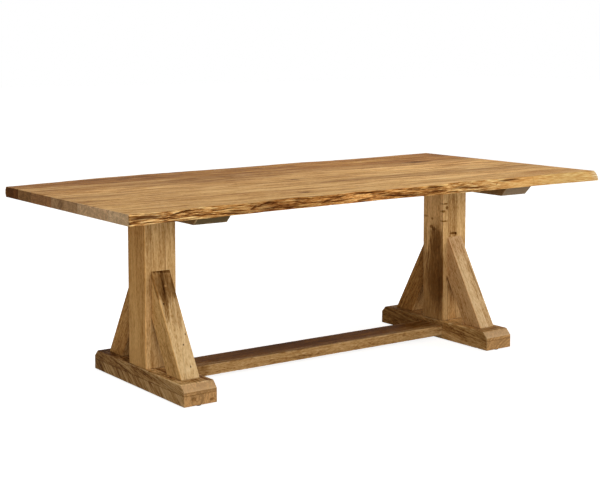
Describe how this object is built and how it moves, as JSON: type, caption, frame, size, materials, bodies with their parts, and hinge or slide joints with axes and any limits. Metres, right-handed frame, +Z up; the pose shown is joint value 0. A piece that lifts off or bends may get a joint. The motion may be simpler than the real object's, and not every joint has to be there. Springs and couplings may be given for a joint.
{
  "type": "trestle dining table",
  "caption": "Trestle dining table: live-edge plank top on braced posts with sled feet, joined by a low flat stretcher and standing on screw-in levelers.",
  "frame": {"origin": "on the floor, under the middle of the top", "axes": "+X along the table's length, +Y from the front live edge to the back one, +Z up"},
  "size_m": [2.328, 1.2246, 0.762],
  "materials": {
    "top_wood": "satin lacquered rustic maple, tan with brown streaks",
    "live_edge_wood": "satin lacquered rustic maple with a rough natural edge",
    "trestle_wood": "satin lacquered rustic maple, warm brown",
    "dowel_wood": "plain beech",
    "zinc_steel": "zinc plated",
    "dark_nylon": "matt moulded nylon"
  },
  "bodies": {
    "table": {"top_board_2": "top_wood", "top_board_3": "top_wood", "top_board_4": "top_wood", "top_board_5": "top_wood", "front_live_edge_board": "live_edge_wood", "back_live_edge_board": "live_edge_wood", "stretcher": "trestle_wood", "left_foot": "trestle_wood", "left_post": "trestle_wood", "left_bearer": "trestle_wood", "left_front_brace": "trestle_wood", "left_back_brace": "trestle_wood", "right_foot": "trestle_wood", "right_post": "trestle_wood", "right_bearer": "trestle_wood", "right_front_brace": "trestle_wood", "right_back_brace": "trestle_wood", "left_brace_dowels": "dowel_wood", "right_brace_dowels": "dowel_wood", "left_foot_lag_screws": "zinc_steel", "left_foot_lag_washers": "zinc_steel", "left_bearer_lag_screws": "zinc_steel", "left_bearer_lag_washers": "zinc_steel", "left_top_screws": "zinc_steel", "left_top_washers": "zinc_steel", "left_stretcher_screws": "zinc_steel", "left_leveler_inserts": "zinc_steel", "right_foot_lag_screws": "zinc_steel", "right_foot_lag_washers": "zinc_steel", "right_bearer_lag_screws": "zinc_steel", "right_bearer_lag_washers": "zinc_steel", "right_top_screws": "zinc_steel", "right_top_washers": "zinc_steel", "right_stretcher_screws": "zinc_steel", "right_leveler_inserts": "zinc_steel"},
    "left_front_leveler": {"left_front_leveler_pad": "dark_nylon", "left_front_leveler_stem": "zinc_steel"},
    "left_back_leveler": {"left_back_leveler_pad": "dark_nylon", "left_back_leveler_stem": "zinc_steel"},
    "right_front_leveler": {"right_front_leveler_pad": "dark_nylon", "right_front_leveler_stem": "zinc_steel"},
    "right_back_leveler": {"right_back_leveler_pad": "dark_nylon", "right_back_leveler_stem": "zinc_steel"}
  },
  "joints": [
    {"name": "left_front_leveler_travel", "type": "slide", "parent": "table", "child": "left_front_leveler", "axis": [0, 0, -1], "range_m": [0, 0.012]},
    {"name": "left_back_leveler_travel", "type": "slide", "parent": "table", "child": "left_back_leveler", "axis": [0, 0, -1], "range_m": [0, 0.012]},
    {"name": "right_front_leveler_travel", "type": "slide", "parent": "table", "child": "right_front_leveler", "axis": [0, 0, -1], "range_m": [0, 0.012]},
    {"name": "right_back_leveler_travel", "type": "slide", "parent": "table", "child": "right_back_leveler", "axis": [0, 0, -1], "range_m": [0, 0.012]}
  ]
}
